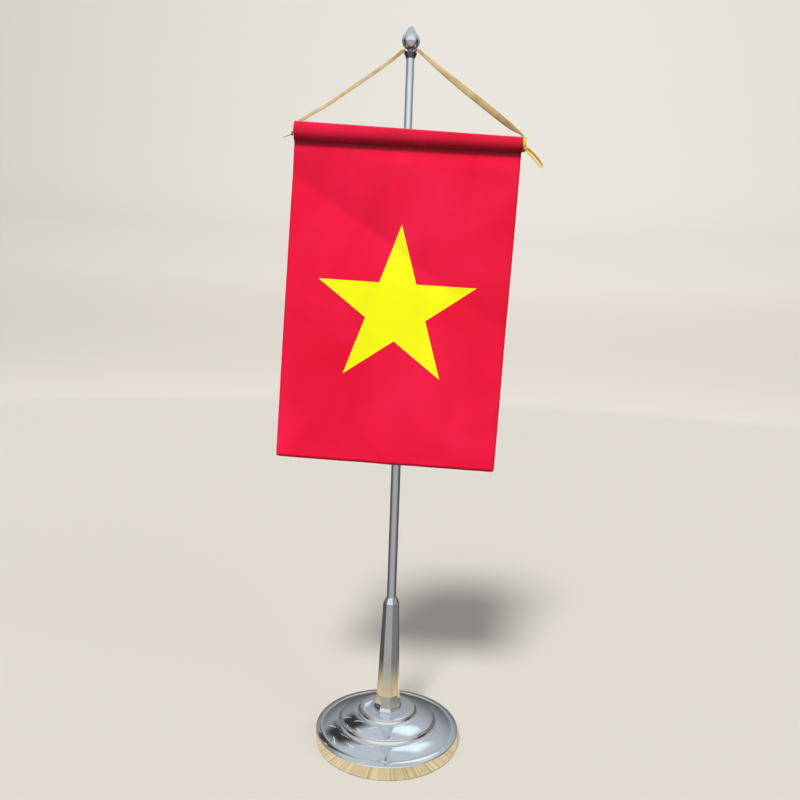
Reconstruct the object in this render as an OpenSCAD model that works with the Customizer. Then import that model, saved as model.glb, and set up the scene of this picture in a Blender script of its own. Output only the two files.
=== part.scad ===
// Desk flag stand: a weighted, stepped round base, an eight-sided tapered column, a telescopic
// pole with a drop-shaped finial, and a small banner that hangs from the neck under the finial
// by a flat ribbon tied to the two ends of its rod.
// Millimetres, +Z up. The origin is the centre of the face that rests on the desk.

/* [Base] */
// Outside diameter of the base
base_d = 96; // [90:1:104]
// Height of the top edge of the base's rim
rim_h = 9.7; // [8.5:0.1:11]
// Diameter of the middle tier at its top edge
middle_tier_d = 62.2; // [58:0.2:66]
// Diameter of the top tier at its top edge
top_tier_d = 37; // [34:0.5:40]
// Height of the seat that the column stands on
seat_h = 23; // [22.8:0.1:25]

/* [Column] */
// Height at which the column ends
column_top = 99.4; // [90:0.1:120]
// Width across corners just under the crown
column_top_w = 10.8; // [10.6:0.1:13]
// Width across corners just above the foot
column_low_w = 15.1; // [14:0.1:18]
// Turn of the eight corners about the upright axis
column_turn = 13; // [0:1:44]

/* [Pole] */
// Height of the tip of the finial at rest
total_h = 463.4; // [440:0.2:520]
// Outside diameter of the lower tube
lower_tube_d = 6.1; // [6:0.05:6.3]
// Outside diameter of the upper tube
upper_tube_d = 5.1; // [5:0.05:5.2]
// Height of the lower tube's mouth
lower_tube_top = 268; // [262:1:280]

/* [Banner] */
// Width of the cloth
cloth_w = 140; // [120:1:160]
// Length of the cloth below the middle of the rod
cloth_drop = 203.6; // [170:0.2:220]
// Diameter of the rod in the sleeve
rod_d = 7.8; // [7:0.1:8.2]
// Height of the middle of the rod
rod_h = 395.4; // [385:0.1:400]
// Distance from the pole's axis forward to the middle of the rod
rod_forward = 8.4; // [8.2:0.1:12]
// Sideways offset of the middle of the rod
rod_shift = 0.6; // [-3:0.1:3]
// How far the banner hangs out of level, right end lower
banner_tilt = 2.2; // [0:0.1:4]
// Width of the ribbon
ribbon_w = 4; // [3:0.1:5]

/* [Hidden] */
$fn = 96;
slip = 0.03;

// base
base_r = base_d / 2;
desk_gap = 0.4;
pad_h = 1.5;
pad_r = base_r - 2;
rim_round = 1.1;
lip_w = 4.6;
lip_rise = 0.8;
middle_r = middle_tier_d / 2;
middle_z = 16.8;
middle_foot = 13.2;
middle_cove = 3.1;
top_r = top_tier_d / 2;
top_z = 22.6;
top_foot = 19.6;
top_cove = 2.4;
edge_round = 0.5;
slope_dome = 0.25;
seat_r = 9.8;
screw_hole_r = 2.75;
plate_under = seat_h - 2.9;

// fixing screw, washers and ballast
screw_r = 2.45;
head_r = 4.5;
head_z = 2;
head_h = 3;
spring_washer_h = 1.2;
flat_washer_h = 1;
washer_z = head_z + head_h;
pocket_top = washer_z + spring_washer_h + flat_washer_h;
pocket_r = 6;
ballast_top = 7.4;
ballast_r = base_r - 2.8;
hub_r = 15.6;
screw_tip = 38;

// column
straight_from = 38;
// Extra radius of the flared foot, as [height above the seat, radius to add]
flare = [[0.4, 1.6], [1, 1.25], [2, 0.95], [9.5, 0]];
crown_h = 3.9;
crown_w = 7.2;
socket_bottom = 64;

// pole
lower_r = lower_tube_d / 2;
lower_bore_r = lower_r - 0.2;
upper_r = upper_tube_d / 2;
upper_bore_r = upper_r - 0.25;
mouth_h = 2;
clip_bottom = 238;
clip_h = 14;
bead_h = 0.8;
plug_head_h = 1.8;

// neck and finial
ball_r = 5.6;
ball_z = total_h - 8.4;
tip_r = 2.2;
tip_angle = asin((ball_r - tip_r) / (total_h - tip_r - ball_z));
finial_bottom = ball_z - 5.4;
collar_bottom = total_h - 19.4;
collar_top = total_h - 15.8;
collar_r = 4;
collar_edge = 0.3;
neck_r = 1.9;
stud_r = 1.45;
stud_bottom = total_h - 26.4;
stud_top = total_h - 6.4;
neck_z = total_h - 14.35;

// banner
rod_r = rod_d / 2;
rod_bore_r = rod_r - 1;
rod_left = -70.7;
rod_right = 72.3;
sleeve_gap = 0.1;
sleeve_wall = 0.45;
sleeve_r = rod_r + sleeve_gap + sleeve_wall;
seam_drop = 6;
cloth_t = 0.4;
stitch_pitch = 3;
stitch_len = 2.2;
stitch_t = 0.25;
stitch_drop = 7.4;

// ribbon
ribbon_t = 0.5;
bight_r = 2.9;
bight_share = 0.25;
bight_tilt = 4;
wrap_t = 0.45;

// Ribbon routes. Each stop is [x, y, z, share of the full width, twist in degrees].
left_leg = [
    [-4.7, -1.5, 447.4, 0.45, 0],
    [-7.5, -1.6, 445.3, 0.65, 10],
    [-12, -1.8, 441.8, 0.8, 25],
    [-22, -2.4, 434.5, 0.9, 50],
    [-32, -3, 427.3, 0.95, 60],
    [-41.9, -3.6, 420.1, 0.95, 60],
    [-51.9, -4.2, 412.9, 0.95, 60],
    [-58, -4.6, 409.4, 0.85, 60],
    [-63.4, -4.9, 405.8, 0.7, 60],
    [-67, -5.1, 403.8, 0.45, 60],
    [-68.6, -5.2, 402.8, 0.3, 60],
    [-69.4, -5.4, 402.2, 0.25, 60],
    [-69.75, -5.8, 401.5, 0.25, 60]
];
right_leg = [
    [4.7, -1.5, 448.2, 0.45, 0],
    [8, -1.6, 445.7, 0.7, -15],
    [14, -1.9, 441.2, 0.85, -30],
    [24, -2.9, 433.5, 0.95, -30],
    [34, -4, 425.8, 1, -15],
    [44, -5.2, 418.2, 1, 0],
    [54, -6.4, 410.6, 1, 10],
    [63, -7.4, 403.7, 0.85, 20],
    [69.5, -8.1, 399.3, 0.4, 20],
    [71, -8.3, 397.9, 0.3, 20],
    [71.5, -8.4, 396.8, 0.3, 20]
];
left_tail = [
    [-70.5, -11, 393.9, 0.3, 70],
    [-72.3, -11.2, 393.2, 0.35, 70],
    [-74.2, -11.2, 392.5, 0.25, 70],
    [-76.1, -11.2, 391.7, 0.1, 70]
];
right_tail = [
    [72.6, -11.6, 389.4, 0.35, 80],
    [74.6, -11.5, 388.8, 0.35, 80],
    [77.3, -11.3, 387, 0.35, 80],
    [80.4, -11.3, 383.7, 0.35, 80],
    [82.4, -11.3, 381, 0.35, 80],
    [83.2, -11.3, 379.5, 0.35, 80],
    [82.4, -11.3, 378.7, 0.35, 80],
    [80.9, -11.3, 380, 0.35, 80],
    [78.8, -11.3, 382.3, 0.35, 80],
    [76.2, -11.2, 385.2, 0.35, 80],
    [72.9, -10.9, 388.7, 0.35, 80]
];

// Points of an arc about [cx, cz], from angle a to angle b in n steps
function arc(cx, cz, r, a, b, n) =
    [for (i = [0:n]) let (t = a + (b - a) * i / n) [cx + r * cos(t), cz + r * sin(t)]];

function unit(v) = v / norm(v);
function place(route, i) = [route[i][0], route[i][1], route[i][2]];
function heading(route, i) =
    unit(place(route, min(i + 1, len(route) - 1)) - place(route, max(i - 1, 0)));

// The eight corners of the ribbon's flat section at one stop of a route
function section(route, i) =
    let (
        along = heading(route, i),
        level = unit(cross(along, [0, 1, 0])),
        facing = cross(level, along),
        twist = route[i][4],
        across = level * cos(twist) + facing * sin(twist),
        through = facing * cos(twist) - level * sin(twist)
    )
    [for (k = [0:7])
        place(route, i)
        + across * cos(45 * k + 22.5) / cos(22.5) * route[i][3] * ribbon_w / 2
        + through * sin(45 * k + 22.5) / cos(22.5) * ribbon_t / 2];

module strap(route) {
    last = len(route) - 1;
    points = [for (i = [0:last]) each section(route, i)];
    sides = [for (i = [0:last - 1], k = [0:7]) each [
        [8 * i + k, 8 * i + (k + 1) % 8, 8 * i + 8 + k],
        [8 * i + (k + 1) % 8, 8 * i + 8 + (k + 1) % 8, 8 * i + 8 + k]]];
    first_cap = [for (k = [7:-1:0]) k];
    last_cap = [for (k = [0:7]) 8 * last + k];
    polyhedron(points, concat([first_cap, last_cap], sides), convexity = 6);
}

// Ring along Z with its lower face at z = 0
module ring(r_out, r_in, h) {
    difference() {
        cylinder(r = r_out, h = h);
        translate([0, 0, -1]) cylinder(r = r_in, h = h + 2);
    }
}

// Places what is drawn about the rod's middle, with the rod along X
module at_banner() {
    translate([rod_shift, -rod_forward, rod_h])
        rotate([0, banner_tilt, 0])
            children();
}

// Tube or rod along X from x = a to x = b, in the banner's own axes
module along_x(a, b, r) {
    translate([a, 0, 0]) rotate([0, 90, 0]) cylinder(r = r, h = b - a);
}

// ---- base

// Points of a slope from (r0, z0) up to (r1, z1), raised by up to h in its middle
function domed(r0, z0, r1, z1, h) = [
    for (i = [1:5]) let (t = i / 6)
        [r0 + (r1 - r0) * t, z0 + (z1 - z0) * t + h * 4 * t * (1 - t)]
];

// Outline of the skin's outside, from the desk up to the seat
function skin_outside() = concat(
    [[base_r - 0.8, desk_gap], [base_r - 0.2, desk_gap + 0.5], [base_r, desk_gap + 1.6]],
    arc(base_r - rim_round, rim_h - rim_round, rim_round, 0, 72, 6),
    arc(base_r - lip_w, rim_h - 8, 8 + lip_rise, 65, 90, 6),
    [[base_r - lip_w - 0.3, rim_h + lip_rise - 0.3]],
    domed(base_r - lip_w - 0.3, rim_h + lip_rise - 0.3, middle_r + middle_cove, middle_foot, slope_dome),
    arc(middle_r + middle_cove, middle_foot + middle_cove, middle_cove, 268, 180, 10),
    arc(middle_r - edge_round, middle_z - edge_round, edge_round, 0, 72, 4),
    domed(middle_r - edge_round, middle_z, top_r + top_cove, top_foot, slope_dome),
    arc(top_r + top_cove, top_foot + top_cove, top_cove, 268, 180, 10),
    arc(top_r - edge_round, top_z - edge_round, edge_round, 0, 80, 4),
    [[seat_r, seat_h], [0, seat_h]]
);

// Outline of the hollow under the skin, from the axis out to the desk
skin_inside = [
    [0, plate_under], [16.6, plate_under], [16.6, 18], [20, 17.2], [29, 15.2],
    [29, 12.2], [33, 11.2], [base_r - 1.7, 8], [base_r - 1.7, desk_gap]
];

module base_shell() {
    color("gainsboro")
    difference() {
        rotate_extrude() polygon(concat(skin_outside(), skin_inside));
        translate([0, 0, plate_under - 1]) cylinder(r = screw_hole_r, h = 6);
    }
}

module ballast() {
    color("dimgray")
    difference() {
        union() {
            translate([0, 0, pad_h]) cylinder(r = ballast_r, h = ballast_top - pad_h);
            translate([0, 0, pad_h]) cylinder(r = hub_r, h = plate_under - pad_h);
        }
        translate([0, 0, pad_h - 1]) cylinder(r = pocket_r, h = pocket_top - pad_h + 1);
        cylinder(r = screw_hole_r, h = seat_h);
    }
}

module base_pad() {
    color("darkgreen")
    cylinder(r = pad_r, h = pad_h);
}

module fixing_screw() {
    color("silver")
    difference() {
        union() {
            translate([0, 0, head_z]) cylinder(r = head_r, h = head_h);
            translate([0, 0, washer_z]) cylinder(r = screw_r, h = screw_tip - washer_z);
        }
        for (turn = [0, 90])
            rotate([0, 0, turn]) translate([-2.4, -0.5, head_z - 1]) cube([4.8, 1, 2.6]);
    }
}

module spring_washer() {
    color("gray")
    difference() {
        translate([0, 0, washer_z]) ring(4.3, screw_r + 0.15, spring_washer_h);
        translate([0, -0.4, washer_z - 1]) cube([6, 0.8, spring_washer_h + 2]);
    }
}

module flat_washer() {
    color("silver")
    translate([0, 0, washer_z + spring_washer_h]) ring(5.2, screw_r + 0.15, flat_washer_h);
}

// ---- column

// Distance from the axis to a corner at a height on the straight taper
function corner_r(z) =
    (column_low_w + (column_top_w - column_low_w) * (z - straight_from)
        / (column_top - crown_h - straight_from)) / 2;

// Outline through one corner, from the foot up to the crown
function corner_outline() = concat(
    [[0, seat_h], [corner_r(seat_h) + flare[0][1], seat_h]],
    [for (stop = flare) [corner_r(seat_h + stop[0]) + stop[1], seat_h + stop[0]]],
    [[corner_r(column_top - crown_h), column_top - crown_h], [crown_w / 2, column_top],
     [0, column_top]]
);

module column() {
    color("lightgray")
    difference() {
        rotate([0, 0, column_turn]) rotate_extrude($fn = 8) polygon(corner_outline());
        translate([0, 0, seat_h - 1]) cylinder(r = screw_r + slip, h = screw_tip + 2 - seat_h);
        translate([0, 0, socket_bottom]) cylinder(r = lower_r + slip, h = column_top);
    }
}

// ---- pole

module lower_tube() {
    color("silver")
    difference() {
        translate([0, 0, socket_bottom]) cylinder(r = lower_r, h = lower_tube_top - socket_bottom);
        translate([0, 0, socket_bottom - 1])
            cylinder(r = lower_bore_r, h = lower_tube_top - mouth_h - socket_bottom + 1);
        cylinder(r = upper_r + 0.05, h = lower_tube_top + 1);
    }
}

module friction_clip() {
    color("goldenrod")
    difference() {
        translate([0, 0, clip_bottom]) ring(lower_bore_r - slip, upper_r + slip, clip_h);
        translate([0, -0.5, clip_bottom - 1]) cube([6, 1, clip_h + 2]);
    }
}

module upper_tube() {
    color("whitesmoke")
    difference() {
        union() {
            translate([0, 0, clip_bottom]) cylinder(r = upper_r, h = collar_bottom - clip_bottom);
            translate([0, 0, clip_bottom + clip_h + 0.1]) cylinder(r = upper_r + 0.2, h = bead_h);
        }
        translate([0, 0, clip_bottom - 1])
            cylinder(r = upper_bore_r, h = collar_bottom - clip_bottom + 2);
    }
}

module foot_plug() {
    color("goldenrod")
    union() {
        translate([0, 0, clip_bottom - plug_head_h]) cylinder(r = lower_bore_r - 0.1, h = plug_head_h);
        translate([0, 0, clip_bottom - 0.1]) cylinder(r = upper_bore_r - slip, h = 8);
    }
}

// ---- neck and finial

module neck_collar() {
    color("lightgray")
    difference() {
        rotate_extrude() polygon([
            [0, collar_bottom - 10], [upper_bore_r - slip, collar_bottom - 10],
            [upper_bore_r - slip, collar_bottom], [upper_r, collar_bottom],
            [collar_r, collar_top - collar_edge], [collar_r, collar_top],
            [neck_r, collar_top + 0.1], [neck_r, finial_bottom], [0, finial_bottom]
        ]);
        translate([0, 0, collar_bottom - 11]) cylinder(r = stud_r + slip, h = 20);
    }
}

module finial_stud() {
    color("silver")
    translate([0, 0, stud_bottom]) cylinder(r = stud_r, h = stud_top - stud_bottom);
}

// A ball, a cone tangent to it and a small rounded tip
module finial() {
    color("gainsboro")
    difference() {
        rotate_extrude() polygon(concat(
            [[0, finial_bottom]],
            arc(0, ball_z, ball_r, -74, tip_angle, 22),
            arc(0, total_h - tip_r, tip_r, tip_angle, 90, 8)
        ));
        translate([0, 0, finial_bottom - 1])
            cylinder(r = stud_r + slip, h = stud_top + 1.5 - finial_bottom);
    }
}

// ---- ribbon

module ribbon_bight() {
    color("khaki")
    translate([0, 0, neck_z])
        rotate([0, -bight_tilt, 0])
            rotate_extrude(angle = 180)
                translate([bight_r, -bight_share * ribbon_w / 2])
                    square([ribbon_t, bight_share * ribbon_w]);
}

module ribbon_left_leg() {
    color("khaki") strap(left_leg);
}

module ribbon_right_leg() {
    color("khaki") strap(right_leg);
}

// A turn of ribbon round the rod's end from x = a to x = b, and the knot on it
module knot(a, b, lump, lump_r) {
    at_banner() {
        difference() {
            union() {
                along_x(a, b, rod_r + slip + wrap_t);
                translate(lump) sphere(r = lump_r);
            }
            along_x(a - 5, b + 5, rod_r + slip);
        }
    }
}

module ribbon_left_knot() {
    color("darkkhaki") knot(-70.6, -70.05, [-71, -3, -3.9], 0.9);
}

module ribbon_right_knot() {
    color("gold") knot(70.05, 72.1, [71.6, -3.2, -3.4], 1.5);
}

module ribbon_left_tail() {
    color("darkkhaki") strap(left_tail);
}

module ribbon_right_tail() {
    color("gold") strap(right_tail);
}

// ---- banner

module rod() {
    color("white")
    at_banner()
        difference() {
            along_x(rod_left, rod_right, rod_r);
            along_x(rod_left - 1, rod_right + 1, rod_bore_r);
        }
}

// Hollow top hem of the cloth, drop-shaped in section with its seam below the rod
module rod_sleeve() {
    color("crimson")
    at_banner()
        translate([-cloth_w / 2, 0, 0])
            rotate([90, 0, 90])
                linear_extrude(height = cloth_w)
                    difference() {
                        union() {
                            circle(r = sleeve_r);
                            polygon([
                                [-sleeve_r * cos(40), -sleeve_r * sin(40)],
                                [-cloth_t / 2, -seam_drop], [cloth_t / 2, -seam_drop],
                                [sleeve_r * cos(40), -sleeve_r * sin(40)]
                            ]);
                        }
                        circle(r = rod_r + sleeve_gap);
                    }
}

module flag_sheet() {
    color("red")
    at_banner()
        translate([-cloth_w / 2, -cloth_t / 2, -cloth_drop])
            cube([cloth_w, cloth_t, cloth_drop - seam_drop]);
}

module sleeve_stitches() {
    color("darkred")
    at_banner()
        for (x = [-cloth_w / 2 + 1:stitch_pitch:cloth_w / 2 - stitch_len])
            translate([x, -cloth_t / 2 - stitch_t, -stitch_drop])
                cube([stitch_len, stitch_t, stitch_t]);
}

base_shell();
ballast();
base_pad();
fixing_screw();
flat_washer();
spring_washer();
column();
lower_tube();
friction_clip();
upper_tube();
foot_plug();
neck_collar();
finial_stud();
finial();
ribbon_bight();
ribbon_left_leg();
ribbon_right_leg();
ribbon_left_knot();
ribbon_left_tail();
ribbon_right_knot();
ribbon_right_tail();
rod();
rod_sleeve();
flag_sheet();
sleeve_stitches();
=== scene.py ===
"""Looks of the desk flag stand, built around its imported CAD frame. Everything is in metres."""
import math

import bpy
import numpy as np
from mathutils import Matrix, Vector
from mathutils.geometry import delaunay_2d_cdt


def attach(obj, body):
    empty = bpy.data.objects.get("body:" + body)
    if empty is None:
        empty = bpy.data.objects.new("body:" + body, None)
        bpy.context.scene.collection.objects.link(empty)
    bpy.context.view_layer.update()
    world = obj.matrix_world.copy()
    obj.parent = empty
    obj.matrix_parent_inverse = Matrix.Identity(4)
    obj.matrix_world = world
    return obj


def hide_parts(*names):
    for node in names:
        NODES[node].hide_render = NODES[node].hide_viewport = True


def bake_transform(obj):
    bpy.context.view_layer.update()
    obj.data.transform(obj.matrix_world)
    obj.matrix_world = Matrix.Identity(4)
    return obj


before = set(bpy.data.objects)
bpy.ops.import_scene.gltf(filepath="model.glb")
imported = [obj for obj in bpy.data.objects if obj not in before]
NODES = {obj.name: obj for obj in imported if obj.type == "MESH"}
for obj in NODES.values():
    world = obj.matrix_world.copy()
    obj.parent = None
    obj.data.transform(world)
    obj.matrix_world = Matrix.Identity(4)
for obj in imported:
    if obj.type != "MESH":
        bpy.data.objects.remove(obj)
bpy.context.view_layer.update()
MM = 0.001

# ---------------------------------------------------------------- camera

CAMERA_AT = Vector((0.00818, -0.46188, 0.27782))
YAW, PITCH, ROLL = -0.0154, 0.0999, 0.0355
LENS = 32.15


def make_camera():
    forward = Vector((math.sin(YAW) * math.cos(PITCH), math.cos(YAW) * math.cos(PITCH), -math.sin(PITCH)))
    right = Vector((math.cos(YAW), -math.sin(YAW), 0.0))
    up = right.cross(forward)
    right, up = (right * math.cos(ROLL) + up * math.sin(ROLL), up * math.cos(ROLL) - right * math.sin(ROLL))
    data = bpy.data.cameras.new("camera")
    data.sensor_width = 36.0
    data.lens = LENS
    data.clip_start = 0.01
    data.dof.use_dof = False
    cam = bpy.data.objects.new("camera", data)
    bpy.context.scene.collection.objects.link(cam)
    rotation = Matrix((right, up, -forward)).transposed()
    cam.matrix_world = Matrix.Translation(CAMERA_AT) @ rotation.to_4x4()
    bpy.context.scene.camera = cam


make_camera()
bpy.context.scene.view_settings.view_transform = "Standard"

# ---------------------------------------------------------------- node helpers


class Surface:
    """A principled material with short helpers for procedural nodes."""

    def __init__(self, name):
        self.material = bpy.data.materials.new(name)
        self.material.use_nodes = True
        self.tree = self.material.node_tree
        self.tree.nodes.clear()
        self.shader = self.tree.nodes.new("ShaderNodeBsdfPrincipled")
        out = self.tree.nodes.new("ShaderNodeOutputMaterial")
        self.tree.links.new(self.shader.outputs[0], out.inputs[0])

    def set(self, **values):
        for key, value in values.items():
            self.shader.inputs[key.replace("_", " ")].default_value = value
        return self

    def node(self, kind, inputs=None, **props):
        n = self.tree.nodes.new(kind)
        for key, value in props.items():
            setattr(n, key, value)
        for key, value in (inputs or {}).items():
            if hasattr(value, "links"):
                self.tree.links.new(value, n.inputs[key])
            else:
                n.inputs[key].default_value = value
        return n

    def link(self, socket, name):
        self.tree.links.new(socket, self.shader.inputs[name])

    def place(self):
        return self.node("ShaderNodeTexCoord").outputs["Object"]

    def uv(self, name):
        return self.node("ShaderNodeUVMap", uv_map=name).outputs["UV"]

    def stretch(self, vector, scale):
        return self.node("ShaderNodeMapping", {"Vector": vector, "Scale": scale}).outputs["Vector"]

    def noise(self, vector, scale, detail=2.0, rough=0.5, warp=0.0):
        n = self.node("ShaderNodeTexNoise", {"Vector": vector, "Scale": scale, "Detail": detail,
                                             "Roughness": rough, "Distortion": warp})
        return n.outputs["Fac"]

    def wave(self, vector, scale, axis, warp=0.0, profile="SIN"):
        n = self.node("ShaderNodeTexWave", {"Vector": vector, "Scale": scale, "Distortion": warp,
                                            "Detail": 1.0}, wave_type="BANDS", bands_direction=axis,
                      wave_profile=profile)
        return n.outputs["Fac"]

    def remap(self, value, low, high, to_low=0.0, to_high=1.0):
        n = self.node("ShaderNodeMapRange", {"Value": value, "From Min": low, "From Max": high,
                                             "To Min": to_low, "To Max": to_high})
        return n.outputs["Result"]

    def math(self, operation, a, b):
        return self.node("ShaderNodeMath", {0: a, 1: b}, operation=operation).outputs[0]

    def mix(self, fac, a, b, blend="MIX"):
        n = self.node("ShaderNodeMix", {"Factor": fac}, data_type="RGBA", blend_type=blend)
        for socket, value in ((n.inputs[6], a), (n.inputs[7], b)):
            if hasattr(value, "links"):
                self.tree.links.new(value, socket)
            else:
                socket.default_value = (*value, 1.0)
        return n.outputs[2]

    def bump(self, height, distance, under=None):
        n = self.node("ShaderNodeBump", {"Height": height, "Distance": distance, "Strength": 1.0})
        if under is not None:
            self.tree.links.new(under, n.inputs["Normal"])
        return n.outputs["Normal"]


def chrome(name, tint, wave_mm, haze):
    """Polished plating: faint ripples of the casting under it, hairline scratches and smudges."""
    s = Surface(name).set(Metallic=1.0)
    place = s.place()
    cloud = s.noise(place, 60.0, 4.0, 0.6, 0.4)
    smudge = s.remap(cloud, 0.52, 0.72)
    hairs = s.noise(s.stretch(place, (60.0, 60.0, 900.0)), 22.0, 2.0)
    rough = s.math("ADD", s.remap(smudge, 0.0, 1.0, 0.035, haze), s.remap(hairs, 0.55, 0.8, 0.0, 0.05))
    s.link(rough, "Roughness")
    s.link(s.mix(smudge, tint, tuple(c * 0.9 for c in tint)), "Base Color")
    ripple = s.bump(s.noise(place, 75.0, 1.5), wave_mm * MM)
    s.link(s.bump(hairs, 0.0004 * MM, ripple), "Normal")
    return s.material


def satin(name, deep, bright, thread_mm, rough, sheen, shine, mottle=14.0):
    """Woven satin on a cloth map in metres: fine threads, soft mottling of painted sheen in the colour, and a
    sheen.
    """
    s = Surface(name).set(Sheen_Weight=sheen, Sheen_Roughness=0.35)
    s.shader.inputs["Sheen Tint"].default_value = (*bright, 1.0)
    s.shader.inputs["Specular IOR Level"].default_value = shine
    uv = s.uv("cloth")
    per_m = 1.0 / (thread_mm * MM) / 20.0 * math.pi * 2.0
    warp = s.wave(uv, per_m, "X", 0.6)
    weft = s.wave(uv, per_m * 0.8, "Y", 0.6)
    weave = s.math("MULTIPLY", warp, weft)
    clouds = s.noise(uv, mottle, 3.0, 0.55, 0.6)
    grain = s.noise(uv, 900.0, 2.0, 0.6)
    # The clouds mix the deep and bright colours: painted sheen, the pale and dark patches that satin's sheen
    # gives.
    base = s.mix(s.remap(clouds, 0.32, 0.68), deep, bright)
    base = s.mix(s.remap(weave, 0.0, 1.0, 0.16, 0.0), base, tuple(c * 0.45 for c in deep))
    base = s.mix(s.remap(grain, 0.3, 0.7, 0.0, 0.12), base, bright)
    s.link(base, "Base Color")
    s.link(s.remap(clouds, 0.3, 0.7, rough + 0.06, rough - 0.05), "Roughness")
    soft = s.bump(s.noise(uv, 48.0, 3.0, 0.5), 0.10 * MM)
    s.link(s.bump(weave, 0.016 * MM, soft), "Normal")
    return s.material


def speckled(name, low, high, scale, rough, bump_mm, metallic=0.0):
    """Cast iron, felt, plastic and plated hardware: two tones of grain with a matching bump."""
    s = Surface(name).set(Metallic=metallic)
    place = s.place()
    grain = s.noise(place, scale, 4.0, 0.6)
    s.link(s.mix(s.remap(grain, 0.3, 0.7), low, high), "Base Color")
    s.link(s.remap(grain, 0.3, 0.7, rough + 0.08, rough - 0.08), "Roughness")
    s.link(s.bump(grain, bump_mm * MM), "Normal")
    return s.material


MATERIALS = {
    "base_chrome": chrome("base_chrome", (0.90, 0.90, 0.91), 0.07, 0.11),
    "column_chrome": chrome("column_chrome", (0.82, 0.82, 0.83), 0.02, 0.14),
    "pole_chrome": chrome("pole_chrome", (0.84, 0.85, 0.87), 0.006, 0.16),
    "finial_chrome": chrome("finial_chrome", (0.84, 0.85, 0.87), 0.03, 0.12),
    # The collar's plating is tinted dark: painted reflection, dark for the dim surroundings it mirrors.
    "collar_chrome_painted_dark": chrome("collar_chrome_painted_dark", (0.24, 0.22, 0.21), 0.02, 0.16),
    "banner_red": satin("banner_red", (0.78, 0.003, 0.030), (0.93, 0.010, 0.068), 0.30, 0.58, 0.0, 0.12),
    "banner_star": satin("banner_star", (0.90, 0.90, 0.004), (0.97, 0.96, 0.010), 0.30, 0.60, 0.0, 0.12),
    # The roll is the same red satin, glossier, with its colour painted darker: painted shade that tones down
    # the light on its top.
    "banner_roll_painted_shade": satin("banner_roll_painted_shade", (0.55, 0.001, 0.022), (0.70, 0.003, 0.046), 0.30, 0.26, 0.0, 0.22),
    # The ribbon's gold is its own; the wide spread from its deep to its bright tone is painted sheen, the
    # dark and pale stretches of the twisting satin.
    "ribbon_gold": satin("ribbon_gold", (0.34, 0.22, 0.055), (0.62, 0.47, 0.24), 0.22, 0.36, 0.15, 0.4, 70.0),
    # The left knot and tail: the gold ribbon painted dark red-brown, as painted shade where they sit in the
    # shade.
    "ribbon_painted_shade": satin("ribbon_painted_shade", (0.22, 0.07, 0.03), (0.42, 0.19, 0.10), 0.22, 0.40, 0.2, 0.3, 70.0),
    "ribbon_yellow": satin("ribbon_yellow", (0.74, 0.38, 0.03), (0.93, 0.66, 0.13),
                           0.22, 0.36, 0.2, 0.4, 90.0),
    # The stitch thread is real; its dark red colour is painted shade, the shade under the roll's belly.
    "thread": speckled("thread", (0.22, 0.01, 0.01), (0.40, 0.02, 0.03), 2500.0, 0.7, 0.02),
    "iron": speckled("iron", (0.03, 0.03, 0.03), (0.09, 0.085, 0.08), 700.0, 0.75, 0.08, 0.6),
    "felt": speckled("felt", (0.012, 0.03, 0.018), (0.03, 0.06, 0.04), 2200.0, 0.92, 0.10),
    "hardware": speckled("hardware", (0.42, 0.42, 0.40), (0.62, 0.61, 0.58), 1200.0, 0.35, 0.01, 1.0),
    "brass": speckled("brass", (0.60, 0.42, 0.16), (0.75, 0.56, 0.26), 900.0, 0.30, 0.01, 1.0),
    "plastic": speckled("plastic", (0.72, 0.70, 0.64), (0.82, 0.80, 0.75), 900.0, 0.45, 0.01),
}
CAD_LOOKS = {
    "base_shell": "base_chrome", "column": "column_chrome", "lower_tube": "pole_chrome",
    "upper_tube": "pole_chrome", "neck_collar": "collar_chrome_painted_dark", "finial": "finial_chrome",
    "ballast": "iron", "base_pad": "felt", "fixing_screw": "hardware", "flat_washer": "hardware",
    "spring_washer": "hardware", "friction_clip": "brass", "foot_plug": "brass",
    "finial_stud": "hardware", "rod": "plastic",
}
for node_name, look in CAD_LOOKS.items():
    mesh = NODES[node_name].data
    mesh.materials.clear()
    mesh.materials.append(MATERIALS[look])


# ---------------------------------------------------------------- mesh helpers


def add_mesh(name, points, faces, looks, body=None, smooth=True):
    mesh = bpy.data.meshes.new(name)
    mesh.from_pydata([tuple(p) for p in points], [], [tuple(f) for f in faces])
    for look in looks:
        mesh.materials.append(MATERIALS[look])
    if smooth:
        mesh.shade_smooth()
    mesh.update()
    obj = bpy.data.objects.new(name, mesh)
    bpy.context.scene.collection.objects.link(obj)
    if body:
        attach(obj, body)
    return obj


def set_cloth_map(mesh, flat):
    """Stores each vertex's place on the flat cloth, in metres, as the map that the weave follows."""
    layer = mesh.uv_layers.new(name="cloth")
    index = np.zeros(len(mesh.loops), np.int32)
    mesh.loops.foreach_get("vertex_index", index)
    layer.data.foreach_set("uv", np.asarray(flat, np.float32)[index].ravel())


def spline(keys, steps):
    """A smooth curve through the key rows (Catmull-Rom), with the given steps between two keys."""
    k = np.asarray(keys, float)
    k = np.vstack([2 * k[0] - k[1], k, 2 * k[-1] - k[-2]])
    rows = []
    for i in range(1, len(k) - 2):
        for j in range(steps):
            t = j / steps
            rows.append(0.5 * (2 * k[i] + (k[i + 1] - k[i - 1]) * t
                               + (2 * k[i - 1] - 5 * k[i] + 4 * k[i + 1] - k[i + 2]) * t * t
                               + (3 * k[i] - k[i - 1] - 3 * k[i + 1] + k[i + 2]) * t ** 3))
    rows.append(k[-2])
    return np.array(rows)


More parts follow.
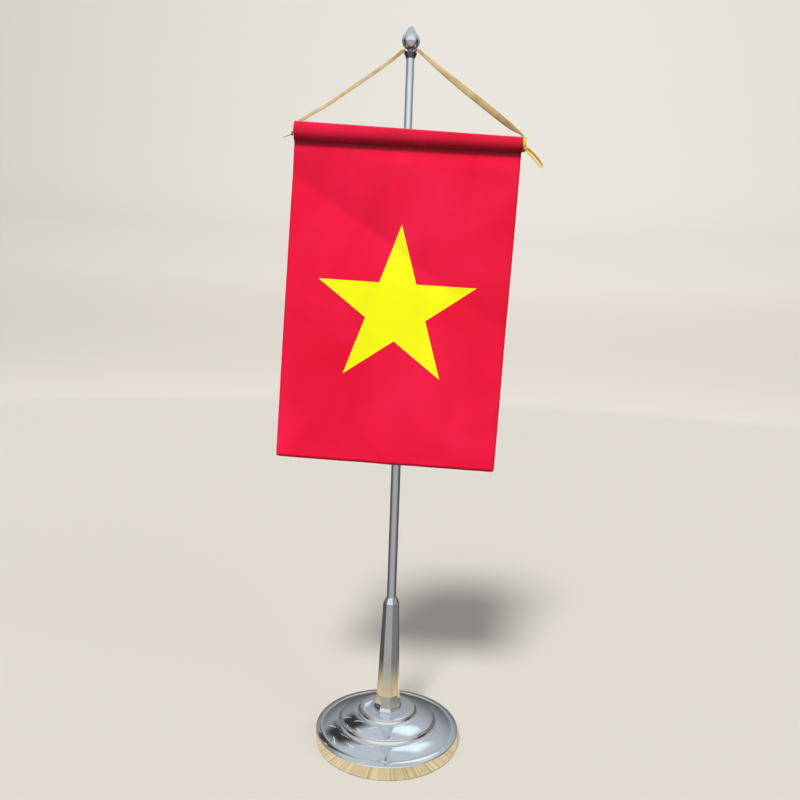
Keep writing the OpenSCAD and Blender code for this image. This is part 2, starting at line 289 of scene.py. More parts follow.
def strip(name, rows, normals, thick, look, body, cup=0.12):
    """A flat woven band along rows of [x, y, z, width], with a slightly cupped section."""
    rows, normals = np.asarray(rows, float), np.asarray(normals, float)
    place, width = rows[:, :3], rows[:, 3]
    along = np.gradient(place, axis=0)
    along /= np.linalg.norm(along, axis=1)[:, None]
    across = np.cross(normals, along)
    across /= np.linalg.norm(across, axis=1)[:, None]
    facing = np.cross(along, across)
    share = np.array([-1, -0.96, -0.7, -0.35, 0, 0.35, 0.7, 0.96, 1.0])
    crown = 1 - share ** 2
    section = list(zip(share, crown, [0, .8, 1, 1, 1, 1, 1, .8, 0]))
    top = [(a, cup * c + 0.5 * e) for a, c, e in section]
    low = [(a, cup * c - 0.5 * e) for a, c, e in section[-2:0:-1]]
    ring = np.array(top + low)
    n = len(ring)
    points, flat = [], []
    run = np.concatenate([[0], np.cumsum(np.linalg.norm(np.diff(place, axis=0), axis=1))])
    for i in range(len(rows)):
        for a, h in ring:
            lift = cup * (1 - a * a) * width[i] * 0.5 + (h - cup * (1 - a * a)) * thick
            points.append(place[i] + across[i] * a * width[i] / 2 + facing[i] * lift)
            flat.append((a * width[i] / 2, run[i]))
    faces = [(n * i + k, n * i + (k + 1) % n, n * (i + 1) + (k + 1) % n, n * (i + 1) + k)
             for i in range(len(rows) - 1) for k in range(n)]
    faces += [tuple(range(n))[::-1], tuple(range(n * (len(rows) - 1), n * len(rows)))]
    obj = add_mesh(name, points, faces, [look], body)
    set_cloth_map(obj.data, flat)
    return obj


# ---------------------------------------------------------------- banner axes

TILT = math.radians(2.2)
ROD = np.array([0.6, -8.4, 395.4]) * MM
HALF_W = 70 * MM
DROP = 203.6 * MM
STAR_UP = -105.2 * MM
STAR_R = 52.2 * MM


def on_banner(x, y, z):
    """Points given about the rod's middle, with the rod along x, in the row frame."""
    x, y, z = (np.asarray(v, float) for v in (x, y, z))
    return np.stack([ROD[0] + x * math.cos(TILT) + z * math.sin(TILT), ROD[1] + y,
                     ROD[2] - x * math.sin(TILT) + z * math.cos(TILT)], -1)


# ---------------------------------------------------------------- ribbon

# Left leg, bight behind the neck and right leg, as [x, y, z, width, twist].
LEFT_LEG = [
    (-69.75, -5.8, 401.5, 1.0, -30), (-69.4, -5.4, 402.2, 1.1, -30), (-68.6, -5.2, 402.8, 1.5, -32),
    (-67, -5.1, 403.8, 2.0, -35), (-63.4, -4.9, 405.8, 3.0, -40), (-58, -4.6, 409.4, 3.5, -43),
    (-51.9, -4.2, 412.9, 3.6, -44), (-41.9, -3.6, 420.1, 3.6, -42), (-32, -3, 427.3, 3.6, -40),
    (-22, -2.4, 434.6, 3.4, -40), (-12, -1.8, 442.2, 3.1, -38), (-7.5, -1.6, 446.0, 2.8, -32),
    (-4.7, -1.5, 448.2, 2.4, -20),
]
RIGHT_LEG = [
    (4.7, -1.5, 448.9, 1.7, 0), (8, -1.6, 446.3, 2.3, -15), (14, -1.9, 441.5, 3.4, -25),
    (24, -2.9, 433.5, 4.0, -15), (34, -4, 425.8, 4.2, -5), (44, -5.2, 418.2, 4.2, 5),
    (54, -6.4, 410.6, 4.1, 12), (63, -7.4, 403.7, 3.4, 20), (69.5, -8.1, 399.3, 1.6, 20),
    (71, -8.3, 397.9, 1.2, 20), (71.5, -8.4, 396.8, 1.2, 20),
]
NECK_Z = 449.05
BIGHT_R = 3.15
BIGHT_TILT = math.radians(4.0)


def bight():
    """The turn of ribbon behind the neck, from its left end to its right end."""
    keys = []
    for degrees in (175, 135, 90, 45, 5):
        a = math.radians(degrees)
        x, y = BIGHT_R * math.cos(a), BIGHT_R * math.sin(a)
        keys.append((x * math.cos(BIGHT_TILT), y, NECK_Z + x * math.sin(BIGHT_TILT), 1.2, 0))
    return keys


def ribbon_normals(rows, twist):
    """Unit normals of a band that lies level across its run and is then turned by the twist."""
    along = np.gradient(rows[:, :3], axis=0)
    along /= np.linalg.norm(along, axis=1)[:, None]
    out = []
    for p, a, t in zip(rows, along, np.radians(twist)):
        behind = np.array([p[0], max(p[1], 0.0), 0.0]) if p[1] > 0.5 * MM else np.array([0.0, -1.0, 0.0])
        face = behind - a * behind.dot(a)
        face /= np.linalg.norm(face)
        side = np.cross(a, face)
        out.append(face * math.cos(t) + side * math.sin(t))
    return np.array(out)


def make_ribbon():
    keys = np.array(LEFT_LEG + bight() + RIGHT_LEG, float)
    keys[:, :4] *= MM
    rows = spline(keys, 10)
    obj = strip("ribbon", rows[:, :4], ribbon_normals(rows, rows[:, 4]), 0.35 * MM, "ribbon_gold", None)
    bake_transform(obj)
    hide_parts("ribbon_bight", "ribbon_left_leg", "ribbon_right_leg")
    return obj, rows[:, :3]


ribbon, ribbon_line = make_ribbon()


def wrap(name, x0, x1, radius, look, turns, bulge):
    """Ribbon wound round the end of the rod between two places along it."""
    keys = []
    count = int(turns * 40)
    for i in range(count + 1):
        a = 2 * math.pi * turns * i / count
        x = (x0 + x1) / 2 * MM + (x1 - x0) * MM * 0.06 * math.sin(a + 0.7)
        r = (radius + bulge * math.sin(1.3 * a) ** 2) * MM
        keys.append((x, -r * math.sin(a), r * math.cos(a), a))
    keys = np.array(keys)
    place = on_banner(keys[:, 0], keys[:, 1], keys[:, 2])
    normal = on_banner(keys[:, 0], keys[:, 1] * 2, keys[:, 2] * 2) - place
    width = np.full(len(place), (x1 - x0) * MM)
    rows = np.column_stack([place, width])
    obj = strip(name, rows, normal, 0.3 * MM, look, "hanger", 0.05)
    return obj


def lump(name, centre, size, look, seed):
    """A small pulled knot: folds of ribbon pressed into a rounded lump."""
    rng = np.random.default_rng(seed)
    points, faces, flat = [], [], []
    rings, sides = 14, 20
    phase = rng.random(3) * 6.28
    for i in range(rings + 1):
        v = math.pi * i / rings
        for k in range(sides):
            u = 2 * math.pi * k / sides
            fold = 1 + 0.16 * math.sin(3 * u + 2.2 * v + phase[0]) + 0.10 * math.sin(5 * u - 3 * v + phase[1])
            p = np.array([math.sin(v) * math.cos(u), math.sin(v) * math.sin(u), math.cos(v)]) * fold
            points.append(np.array(centre) * MM + p * np.array(size) * MM)
            flat.append((u * size[0] * MM, v * size[2] * MM))
    for i in range(rings):
        for k in range(sides):
            a, b = sides * i + k, sides * i + (k + 1) % sides
            faces.append((a, a + sides, b + sides, b))
    obj = add_mesh(name, points, faces, [look], "hanger")
    set_cloth_map(obj.data, flat)
    return obj


def tail(name, keys, look, steps=8):
    keys = np.array(keys, float)
    keys[:, :4] *= MM
    rows = spline(keys, steps)
    obj = strip(name, rows[:, :4], ribbon_normals(rows, rows[:, 4]), 0.3 * MM, look, "hanger")
    return obj


left_wrap = wrap("ribbon_left_wrap", -70.6, -70.05, 4.1, "ribbon_gold", 1.1, 0.0)
# The left knot and tail wear the ribbon painted dark as shade.
left_knot = lump("ribbon_left_knot_folds", (-70.62, -11.5, 394.3), (0.55, 0.8, 1.2), "ribbon_painted_shade", 3)
left_tail = tail("ribbon_left_tail_end", [
    (-70.5, -11.3, 394.0, 1.6, 60), (-72.3, -11.3, 393.2, 1.5, 65), (-74.2, -11.2, 392.5, 1.1, 70),
    (-76.1, -11.2, 391.7, 0.3, 70)], "ribbon_painted_shade")
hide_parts("ribbon_left_knot")
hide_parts("ribbon_left_tail")

right_wrap = wrap("ribbon_right_wrap", 70.18, 72.1, 4.2, "ribbon_yellow", 2.1, 0.15)
right_knot = lump("ribbon_right_knot_folds", (72.2, -11.6, 389.4), (0.9, 0.9, 1.2), "ribbon_yellow", 5)
right_tail = tail("ribbon_right_tail_loop", [
    (72.4, -11.2, 390.1, 1.6, 35), (74.6, -11.4, 389.0, 1.6, 35), (77.3, -11.5, 386.8, 1.5, 40),
    (80.4, -11.5, 383.7, 1.5, 40), (82.4, -11.5, 381, 1.5, 45), (83.2, -11.5, 379.5, 1.5, 50),
    (82.4, -11.5, 378.7, 1.5, 55), (80.9, -11.5, 380, 1.5, 50), (78.8, -11.5, 382.3, 1.5, 45),
    (76.2, -11.7, 385.2, 1.6, 40), (72.9, -11.6, 388.7, 1.6, 35)], "ribbon_yellow")
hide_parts("ribbon_right_knot")
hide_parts("ribbon_right_tail")

# ---------------------------------------------------------------- banner

# The folded top of the cloth about the rod's middle, as (y, z) in mm, at the left and right ends:
# hem allowance, stitch line, round the back, over the top, down the front and back to the stitches.
FOLD_LEFT = [(0.5, -10.6), (0.35, -6.9), (2.4, -5.2), (4.35, -1.2), (3.2, 3.0), (0, 4.35), (-3.3, 3.1),
             (-4.9, -0.6), (-4.5, -4.4), (-2.4, -7.1), (-0.4, -6.9), (-0.1, -8.4)]
FOLD_RIGHT = [(0.5, -8.2), (0.35, -4.9), (2.9, -3.6), (4.35, -0.5), (3.15, 3.0), (0, 4.3), (-3.1, 3.05),
              (-4.5, -0.3), (-3.9, -3.1), (-2.0, -5.0), (-0.4, -4.9), (-0.1, -6.4)]
FOLD_STEPS = 7
COLS, ROWS = 71, 100


def fold_point(u, s):
    """(y, z) in metres on the folded top, at u from 0 (left) to 1 (right), s in keys along it."""
    profile = []
    for keys in (FOLD_LEFT, FOLD_RIGHT):
        k = np.asarray(keys, float)
        k = np.vstack([2 * k[0] - k[1], k, 2 * k[-1] - k[-2]])
        i = np.clip(np.floor(s).astype(int), 0, len(keys) - 2)
        t = (s - i)[:, None]
        a, b, c, d = k[i], k[i + 1], k[i + 2], k[i + 3]
        profile.append(0.5 * (2 * b + (c - a) * t + (2 * a - 5 * b + 4 * c - d) * t * t
                              + (3 * b - a - 3 * c + d) * t ** 3))
    return (profile[0] * (1 - u)[:, None] + profile[1] * u[:, None]) * MM


def creases(x, z):
    """Set-in creases and soft dents of the cloth, in metres, before it hangs."""
    out = np.zeros_like(x)
    rng = np.random.default_rng(11)
    for _ in range(26):
        wave = 2 * math.pi / rng.uniform(22, 70)
        a, phase, size = rng.uniform(0, math.pi), rng.uniform(0, 6.28), rng.uniform(0.02, 0.07)
        out += size * np.sin((x / MM * math.cos(a) + z / MM * math.sin(a)) * wave + phase)
    return out * MM


def pressed_fold(x, z):
    """The soft diagonal fold that the cloth keeps from its packing, and two dents beside it, in metres."""
    x, z = x / MM, z / MM
    line = np.interp(x, [-70, -10, 70], [-26, -63, -115])
    across = (z - line) * 0.78
    side = np.where(across > 0, 18.0, 24.0)
    reach = np.interp(x, [-70, -55, -5, 25, 70], [0.7, 1.0, 1.0, 0.75, 0.6])
    out = 3.1 * reach * (np.exp(-np.sqrt(across ** 2 + 1.0) / side) - 0.35)
    out += 0.30 * np.exp(-((x + 45) / 16) ** 2 - ((z + 70) / 22) ** 2)
    out += 0.55 * np.exp(-((x - 58) / 15) ** 2 - ((z + 132) / 16) ** 2)
    out += 0.45 * np.exp(-((x + 62) / 14) ** 2 - ((z + 180) / 22) ** 2)
    out += 0.25 * np.sin(x / 9.5 + 1.3 * np.sin(z / 23)) * np.exp(-((z + 16) / 9) ** 2)
    top = np.clip((-9 - z) / 9, 0, 1)
    return out * top * top * (3 - 2 * top) * MM


def hang_cloth():
    """The hanging part of the cloth on a grid, simulated at ten times its size. Returns x, y, z."""
    big = 10.0
    x = np.linspace(-HALF_W, HALF_W, COLS)
    top = -7.4 * MM
    z = np.linspace(top, -DROP, ROWS)
    gx, gz = np.meshgrid(x, z)
    fade = np.clip((top - gz) / (10 * MM), 0, 1)
    gy = creases(gx, gz) * fade
    pucker = 0.22 * MM * np.sin(gx / MM * 0.37 + 1.1 * np.sin(gx / MM * 0.11))
    pucker = pucker * np.exp(-((top - gz) / (14 * MM))) * np.clip((top - gz) / (5 * MM), 0, 1)
    gy = gy + pucker
    points = np.stack([gx, gy, gz], -1).reshape(-1, 3) * big
    faces = [(r * COLS + c, r * COLS + c + 1, (r + 1) * COLS + c + 1, (r + 1) * COLS + c)
             for r in range(ROWS - 1) for c in range(COLS - 1)]
    mesh = bpy.data.meshes.new("hang")
    mesh.from_pydata(points.tolist(), [], faces)
    obj = bpy.data.objects.new("hang", mesh)
    bpy.context.scene.collection.objects.link(obj)
    group = obj.vertex_groups.new(name="held")
    group.add(list(range(COLS)), 1.0, "REPLACE")
    cloth = obj.modifiers.new("Cloth", "CLOTH")
    s = cloth.settings
    s.quality = 6
    s.mass = 0.12
    s.air_damping = 1.5
    s.tension_stiffness = 25
    s.compression_stiffness = 25
    s.shear_stiffness = 12
    s.bending_stiffness = 1.2
    s.vertex_group_mass = "held"
    s.shrink_min = -0.004
    cloth.collision_settings.use_collision = False
    cloth.collision_settings.use_self_collision = False
    scene = bpy.context.scene
    scene.frame_start, scene.frame_end = 1, 40
    cloth.point_cache.frame_start, cloth.point_cache.frame_end = 1, 40
    for f in range(1, 36):
        scene.frame_set(f)
    shape = obj.evaluated_get(bpy.context.evaluated_depsgraph_get())
    hung = np.zeros(len(points) * 3, np.float32)
    shape.data.vertices.foreach_get("co", hung)
    scene.frame_set(1)
    bpy.data.objects.remove(obj)
    bpy.data.meshes.remove(mesh)
    hung = hung.reshape(ROWS, COLS, 3).astype(float) / big
    start = np.stack([gx, gy, gz], -1)
    moved = np.clip(hung - start, -1.6 * MM, 1.6 * MM)
    hung = start + moved
    return hung[..., 0], hung[..., 1] + pressed_fold(gx, gz), hung[..., 2]


def sample(grid, u, v):
    """Bilinear-in-rows, smooth sample of a grid at column u and row v."""
    i = np.clip(np.floor(v).astype(int), 0, grid.shape[0] - 2)
    j = np.clip(np.floor(u).astype(int), 0, grid.shape[1] - 2)
    a, b = v - i, u - j
    return ((grid[i, j] * (1 - b) + grid[i, j + 1] * b) * (1 - a)
            + (grid[i + 1, j] * (1 - b) + grid[i + 1, j + 1] * b) * a)


def star_outline():
    inner = STAR_R * math.sin(math.radians(18)) / math.sin(math.radians(54))
    return [((STAR_R if k % 2 == 0 else inner) * math.cos(math.radians(90 - 36 * k)),
             STAR_UP + (STAR_R if k % 2 == 0 else inner) * math.sin(math.radians(90 - 36 * k)))
            for k in range(10)]


def inside(poly, x, y):
    hit = np.zeros(len(x), bool)
    for (ax, ay), (bx, by) in zip(poly, poly[1:] + poly[:1]):
        crosses = (ay > y) != (by > y)
        hit ^= crosses & (x < (bx - ax) * (y - ay) / (by - ay + 1e-15) + ax)
    return hit


def edge_distance(poly, x, y):
    best = np.full(len(x), 1.0)
    p = np.stack([x, y], -1)
    for a, b in zip(poly, poly[1:] + poly[:1]):
        a, b = np.array(a), np.array(b)
        t = np.clip(((p - a) @ (b - a)) / ((b - a) @ (b - a)), 0, 1)
        best = np.minimum(best, np.linalg.norm(p - a - t[:, None] * (b - a), axis=1))
    return best


def make_banner():
    gx, gy, gz = hang_cloth()
    keys = len(FOLD_LEFT) - 1
    top = float(gz[0, 0])
    pitch = 2 * HALF_W / (COLS - 1)
    # Flat coordinates: across, and down; the fold takes rows above FOLD_LINE.
    per_key = 4.2 * MM
    fold_rows = np.arange(0, keys * FOLD_STEPS) / FOLD_STEPS
    flat_down = np.concatenate([top + (keys - fold_rows) * per_key, np.linspace(top, -DROP, ROWS)])
    xs = np.linspace(-HALF_W, HALF_W, COLS)
    fx, fz = (a.ravel() for a in np.meshgrid(xs, flat_down))
    star = star_outline()
    keep = (edge_distance(star, fx, fz) > 0.45 * pitch)
    fx, fz = fx[keep], fz[keep]
    # Points along the star's edges
    sx, sz = [], []
    for (ax, az), (bx, bz) in zip(star, star[1:] + star[:1]):
        steps = max(2, round(math.hypot(bx - ax, bz - az) / pitch))
        for i in range(steps):
            sx.append(ax + (bx - ax) * i / steps)
            sz.append(az + (bz - az) * i / steps)
    n0, n1 = len(fx), len(sx)
    edges = [(n0 + i, n0 + (i + 1) % n1) for i in range(n1)]
    fx, fz = np.concatenate([fx, sx]), np.concatenate([fz, sz])
    places = [Vector((x * 1000, z * 1000)) for x, z in zip(fx, fz)]
    verts, _, faces, *_ = delaunay_2d_cdt(places, edges, [], 0, 1e-4)
    flat = np.array([(v.x, v.y) for v in verts]) * MM
    # Rounded lower corners
    r = 1.4 * MM
    low = -DROP + r
    for side in (-1, 1):
        cx = side * (HALF_W - r)
        out = (side * (flat[:, 0] - cx) > 0) & (flat[:, 1] < low)
        d = flat[out] - np.array([cx, low])
        far = np.linalg.norm(d, axis=1)
        flat[out] = np.array([cx, low]) + d * np.minimum(1, r / np.maximum(far, 1e-9))[:, None]
    u = (flat[:, 0] + HALF_W) / (2 * HALF_W)
    hanging = flat[:, 1] <= top + 1e-9
    col = u * (COLS - 1)
    row = (top - flat[:, 1]) / (top + DROP) * (ROWS - 1)
    hx, hy, hz = sample(gx, col, row), sample(gy, col, row), sample(gz, col, row)
    fold = fold_point(u, np.clip(keys - (flat[:, 1] - top) / per_key, 0, keys))
    # The fold ends at the line where the hanging cloth starts; carry its place across.
    end = fold_point(u, np.full(len(u), float(keys)))
    blend = np.clip(1 - (top - flat[:, 1]) / (16 * MM), 0, 1) ** 2
    y = np.where(hanging, hy + end[:, 0] * blend, fold[:, 0] + sample(gy, col, np.zeros(len(u))) *
                 np.clip(1 - (flat[:, 1] - top) / (3 * MM), 0, 1))
    stretch = (end[:, 1] - top)
    z = np.where(hanging, hz + stretch * np.clip(1 - (top - flat[:, 1]) / (DROP + top), 0, 1), fold[:, 1])
    x = np.where(hanging, hx, flat[:, 0])
    points = on_banner(x, y, z)
    triangles = np.array(faces)
    centre = flat[triangles].mean(1)
    starry = inside(star, centre[:, 0], centre[:, 1])
    rolled = centre[:, 1] > top
    obj = add_mesh("banner", points, triangles, ["banner_red", "banner_star", "banner_roll_painted_shade"], "flag")
    index = np.where(starry, 1, np.where(rolled, 2, 0)).astype(np.int32)
    obj.data.polygons.foreach_set("material_index", index)
    set_cloth_map(obj.data, flat)
    solid = obj.modifiers.new("Cloth thickness", "SOLIDIFY")
    solid.thickness = 0.22 * MM
    solid.offset = 0.0
    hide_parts("flag_sheet", "rod_sleeve")
    return obj


banner = make_banner()


def make_stitches():
    """One row of lockstitches under the roll, each a short padded thread."""
    points, faces = [], []
    for x in np.arange(-68.6, 67.5, 3.0):
        u = np.full(9, (x + 70) / 140)
        end = fold_point(u[:1], np.array([float(len(FOLD_LEFT) - 1)]))[0]
        base = len(points)
        ring = 8
        for i in range(9):
            t = i / 8
            r = 0.16 * MM * math.sqrt(max(0.02, 1 - (2 * t - 1) ** 4))
            for k in range(ring):
                a = 2 * math.pi * k / ring
                points.append(on_banner((x + 2.2 * t) * MM, end[0] - 0.18 * MM + r * math.cos(a),
                                        end[1] + 0.35 * MM + r * math.sin(a)))
        faces += [(base + ring * i + k, base + ring * i + (k + 1) % ring,
                   base + ring * (i + 1) + (k + 1) % ring, base + ring * (i + 1) + k)
                  for i in range(8) for k in range(ring)]
        faces += [tuple(base + k for k in range(ring))[::-1], tuple(base + ring * 8 + k for k in range(ring))]
    obj = add_mesh("stitches", points, faces, ["thread"], "flag")
    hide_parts("sleeve_stitches")
    return obj


stitches = make_stitches()

# ---------------------------------------------------------------- metal parts


def join_faces(obj):
    """Joins the CAD's separately meshed faces, so that their shading and reflections run on."""
    mesh = obj.data
    for name in ("custom_normal", "sharp_edge", "sharp_face"):
        if name in mesh.attributes:
            mesh.attributes.remove(mesh.attributes[name])
    mesh.shade_smooth()
    weld = obj.modifiers.new("Joined faces", "WELD")
    weld.merge_threshold = 0.002 * MM


for node_name, angle in (("base_shell", 32), ("lower_tube", 30), ("upper_tube", 30), ("neck_collar", 30),
                         ("finial", 40), ("rod", 30), ("ballast", 30), ("base_pad", 30), ("foot_plug", 30),
                         ("fixing_screw", 30), ("finial_stud", 30), ("friction_clip", 30)):
    join_faces(NODES[node_name])
    split = NODES[node_name].modifiers.new("Sharp edges", "EDGE_SPLIT")
    split.split_angle = math.radians(angle)
    split.use_edge_sharp = False

join_faces(NODES["column"])
ridge = NODES["column"].modifiers.new("Rounded ridges", "BEVEL")
ridge.width = 0.28 * MM
ridge.segments = 3
ridge.limit_method = "ANGLE"
ridge.angle_limit = math.radians(20)
facets = NODES["column"].modifiers.new("Flat facets", "EDGE_SPLIT")
facets.split_angle = math.radians(4)
facets.use_edge_sharp = False

# ---------------------------------------------------------------- stage and light


def link_object(name, mesh):
    obj = bpy.data.objects.new(name, mesh)
    bpy.context.scene.collection.objects.link(obj)
    return obj


def mirror_only(obj):
    """Shows a stage object to the polished metal, as its surroundings, and to nothing else."""
    obj.visible_camera = obj.visible_diffuse = obj.visible_shadow = obj.visible_transmission = False


class Glow:
    """An emission material for the surroundings that only reflections show."""

    def __init__(self, name):
        self.material = bpy.data.materials.new(name)
        self.material.use_nodes = True
        self.tree = self.material.node_tree
        self.tree.nodes.clear()
        self.emit = self.tree.nodes.new("ShaderNodeEmission")
        self.out = self.tree.nodes.new("ShaderNodeOutputMaterial")
        self.tree.links.new(self.emit.outputs[0], self.out.inputs[0])
        self.place = self.tree.nodes.new("ShaderNodeTexCoord").outputs["Object"]

    node = Surface.node
    noise = Surface.noise
    remap = Surface.remap
    math = Surface.math
    mix = Surface.mix

    def smooth(self, value, low, high, to_low=0.0, to_high=1.0):
        n = self.node("ShaderNodeMapRange", {"Value": value, "From Min": low, "From Max": high,
                                             "To Min": to_low, "To Max": to_high},
                      interpolation_type="SMOOTHSTEP")
        return n.outputs["Result"]

    def vector(self, operation, a, b=None):
        inputs = {0: a}
        if b is not None:
            inputs[1] = b
        n = self.node("ShaderNodeVectorMath", inputs, operation=operation)
        return n.outputs["Value" if operation in ("LENGTH", "DOT_PRODUCT") else "Vector"]


FLOOR = (0.54, 0.51, 0.465)
WALL = (0.74, 0.71, 0.66)


def ring_points(r, z, n=96):
    return [(r * math.cos(2 * math.pi * i / n), r * math.sin(2 * math.pi * i / n), z) for i in range(n)]


def lathe(name, profile, n=96):
    points, faces = [], []
    for r, z in profile:
        points += ring_points(r, z, n)
    for i in range(len(profile) - 1):
        for k in range(n):
            a, b = n * i + k, n * i + (k + 1) % n
            faces.append((a, b, b + n, a + n))
    mesh = bpy.data.meshes.new(name)
    mesh.from_pydata(points, [], faces)
    mesh.shade_smooth()
    return link_object(name, mesh)


def make_floor():
    m = bpy.data.materials.new("studio")
    m.use_nodes = True
    shader = m.node_tree.nodes["Principled BSDF"]
    place = m.node_tree.nodes.new("ShaderNodeTexCoord")
    height = m.node_tree.nodes.new("ShaderNodeSeparateXYZ")
    m.node_tree.links.new(place.outputs["Object"], height.inputs[0])
    rise = m.node_tree.nodes.new("ShaderNodeValToRGB")
    rise.color_ramp.interpolation = "B_SPLINE"
    rise.color_ramp.elements[0].color = (*FLOOR, 1)
    rise.color_ramp.elements[1].color = (*WALL, 1)
    rise.color_ramp.elements[1].position = 0.72
    # The stops paint shade in a darker band on the foot of the backdrop's curve, then lift the colour above
    # it.
    for stop, share in ((0.03, 0.92), (0.10, 0.84), (0.24, 0.84), (0.36, 0.92), (0.48, 1.05)):
        rise.color_ramp.elements.new(stop).color = (*(c * share for c in FLOOR), 1)
    m.node_tree.links.new(height.outputs["Z"], rise.inputs["Fac"])
    m.node_tree.links.new(rise.outputs["Color"], shader.inputs["Base Color"])
    shader.inputs["Roughness"].default_value = 0.9
    shader.inputs["Specular IOR Level"].default_value = 0.1
    profile = [(0.0005, 0), (0.1, 0), (0.5, 0), (2.2, 0)]
    profile += [(2.2 + 0.7 * math.sin(a), 0.7 - 0.7 * math.cos(a)) for a in np.linspace(0.1, math.pi / 2, 10)]
    profile += [(2.9, 4.0)]
    floor = lathe("floor", profile)
    floor.data.materials.append(m)
    floor.visible_glossy = False
    floor.visible_shadow = False
    floor.visible_diffuse = False


# What the polished metal mirrors: a plain studio with a tan table, lit from the front and above.
TABLE_DARK, TABLE_PALE = (0.56, 0.42, 0.20), (0.90, 0.78, 0.52)
TABLE_R = 0.07
FLOOR_DIM, FLOOR_PALE = (0.10, 0.10, 0.10), (0.42, 0.42, 0.42)
ROOM_DIM, ROOM_PALE = (0.14, 0.14, 0.14), (0.52, 0.58, 0.64)
FRONT_PALE = (0.80, 0.90, 0.95)
FRONT = (0, -1, 0)
ROOM_R = 3.0


def mirror_floor():
    """A tan table round the base, and a dim floor beyond it."""
    g = Glow("mirror_floor")
    radius = g.vector("LENGTH", g.place)
    grain = g.noise(g.vector("NORMALIZE", g.place), 26.0, 4.0, 0.7)
    table = g.mix(g.remap(grain, 0.35, 0.65), TABLE_DARK, TABLE_PALE)
    front = g.vector("DOT_PRODUCT", g.vector("NORMALIZE", g.place), FRONT)
    beyond = g.mix(g.smooth(front, 0.0, 0.9), FLOOR_DIM, FLOOR_PALE)
    colour = g.mix(g.smooth(radius, TABLE_R, 2 * TABLE_R), table, beyond)
    g.tree.links.new(colour, g.emit.inputs["Color"])
    floor = lathe("mirror_floor", [(0.001, 0.0001), (0.3, 0.0001), (ROOM_R, 0.0001)])
    floor.data.materials.append(g.material)
    mirror_only(floor)


def mirror_room():
    """Walls that brighten evenly from eye level to the ceiling, and towards the front."""
    g = Glow("mirror_room")
    way = g.vector("NORMALIZE", g.place)
    back = g.mix(g.smooth(g.vector("DOT_PRODUCT", way, (0, 0, 1)), 0.0, 0.9), ROOM_DIM, ROOM_PALE)
    colour = g.mix(g.smooth(g.vector("DOT_PRODUCT", way, FRONT), 0.2, 0.9), back, FRONT_PALE)
    g.tree.links.new(colour, g.emit.inputs["Color"])
    dome = [(ROOM_R * math.cos(a), ROOM_R * math.sin(a)) for a in np.linspace(0.05, 1.565, 24)]
    room = lathe("mirror_room", [(ROOM_R, -0.02)] + dome)
    room.data.materials.append(g.material)
    mirror_only(room)


def direction(azimuth, elevation):
    """Unit vector by compass degrees (0 is behind the stand, 90 its right) and height degrees."""
    a, e = math.radians(azimuth), math.radians(elevation)
    return Vector((math.sin(a) * math.cos(e), math.cos(a) * math.cos(e), math.sin(e)))


BASE_EYE = Vector((0, 0, 0.015))


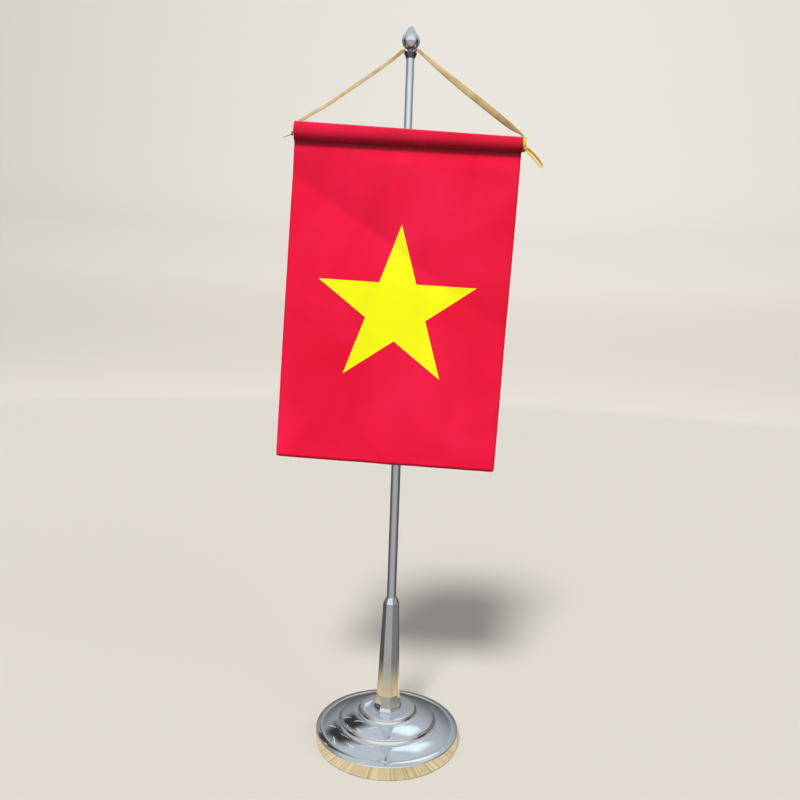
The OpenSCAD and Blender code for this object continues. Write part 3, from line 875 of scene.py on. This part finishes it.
def card(name, azimuth, elevation, far, size, colour, strength, roll=0.0, clouds=0.0, edge=0.12):
    """A soft-edged glowing panel for the reflections, placed by its direction from the base."""
    g = Glow(name)
    parts = g.node("ShaderNodeSeparateXYZ", {"Vector": g.place})
    across = g.math("ABSOLUTE", parts.outputs["X"], 0.0)
    along = g.math("ABSOLUTE", parts.outputs["Y"], 0.0)
    mask = g.math("MULTIPLY", g.smooth(across, size[0] / 2 * (1 - edge), size[0] / 2, 1.0, 0.0),
                  g.smooth(along, size[1] / 2 * (1 - edge), size[1] / 2, 1.0, 0.0))
    if clouds:
        cloud = g.noise(g.place, 16.0, 4.0, 0.65, 0.8)
        mask = g.math("MULTIPLY", mask, g.remap(cloud, 0.32, 0.68, 1.0 - clouds, 1.0))
    g.emit.inputs["Color"].default_value = (*colour, 1)
    g.emit.inputs["Strength"].default_value = strength
    clear = g.tree.nodes.new("ShaderNodeBsdfTransparent")
    blend = g.node("ShaderNodeMixShader", {0: mask, 1: clear.outputs[0], 2: g.emit.outputs[0]})
    g.tree.links.new(blend.outputs[0], g.out.inputs[0])
    mesh = bpy.data.meshes.new(name)
    w, h = size[0] / 2, size[1] / 2
    mesh.from_pydata([(-w, -h, 0), (w, -h, 0), (w, h, 0), (-w, h, 0)], [], [(0, 1, 2, 3)])
    mesh.materials.append(g.material)
    obj = link_object(name, mesh)
    way = direction(azimuth, elevation)
    turn = way.to_track_quat("Z", "Y").to_matrix() @ Matrix.Rotation(math.radians(roll), 3, "Z")
    obj.matrix_world = Matrix.Translation(BASE_EYE + way * far) @ turn.to_4x4()
    mirror_only(obj)


def sun(name, azimuth, elevation, strength, colour, angle):
    data = bpy.data.lights.new(name, "SUN")
    data.energy = strength
    data.color = colour
    data.angle = math.radians(angle)
    obj = link_object(name, data)
    obj.matrix_world = direction(azimuth, elevation).to_track_quat("Z", "Y").to_matrix().to_4x4()
    obj.visible_glossy = False


COOL, WHITE, DARK = (0.80, 0.95, 1.0), (0.96, 0.98, 1.0), (0.04, 0.04, 0.04)
STRIPS = 8

make_floor()
mirror_floor()
mirror_room()
sun("key", 194, 51, 3.75, (1.0, 0.985, 0.96), 13)
sun("side", 130, 35, 0.35, (0.93, 0.96, 1.0), 30)
card("softbox", 20, 55, 0.9, (0.45, 0.35), COOL, 1.2, 0, 0.3, 0.6)
card("flag", -30, 40, 0.95, (0.50, 0.60), DARK, 1.0, 0, 0.0, 0.7)
for side in (-1, 1):
    card(f"side_flag_{side + 1}", 90 * side, 5, 1.5, (0.90, 1.6), DARK, 1.0, 0, 0.0, 0.5)
for k in range(STRIPS):
    card(f"strip_{k}", -50 + 7 * k, 30 + 12 * (k % 3), 0.8, (0.15, 0.010), WHITE, 1.3, 40 * k, 0.0, 0.5)

world = bpy.data.worlds.new("world")
bpy.context.scene.world = world
world.use_nodes = True
sky = world.node_tree
toward = sky.nodes.new("ShaderNodeSeparateXYZ")
sky.links.new(sky.nodes.new("ShaderNodeTexCoord").outputs["Generated"], toward.inputs[0])
height = sky.nodes.new("ShaderNodeMapRange")
height.inputs["From Min"].default_value = -0.25
height.inputs["From Max"].default_value = 0.25
height.inputs["To Min"].default_value = 0.14
height.inputs["To Max"].default_value = 0.46
sky.links.new(toward.outputs["Z"], height.inputs["Value"])
sky.links.new(height.outputs["Result"], sky.nodes["Background"].inputs["Strength"])
sky.nodes["Background"].inputs["Color"].default_value = (0.96, 0.98, 1.0, 1)
world.cycles_visibility.glossy = False
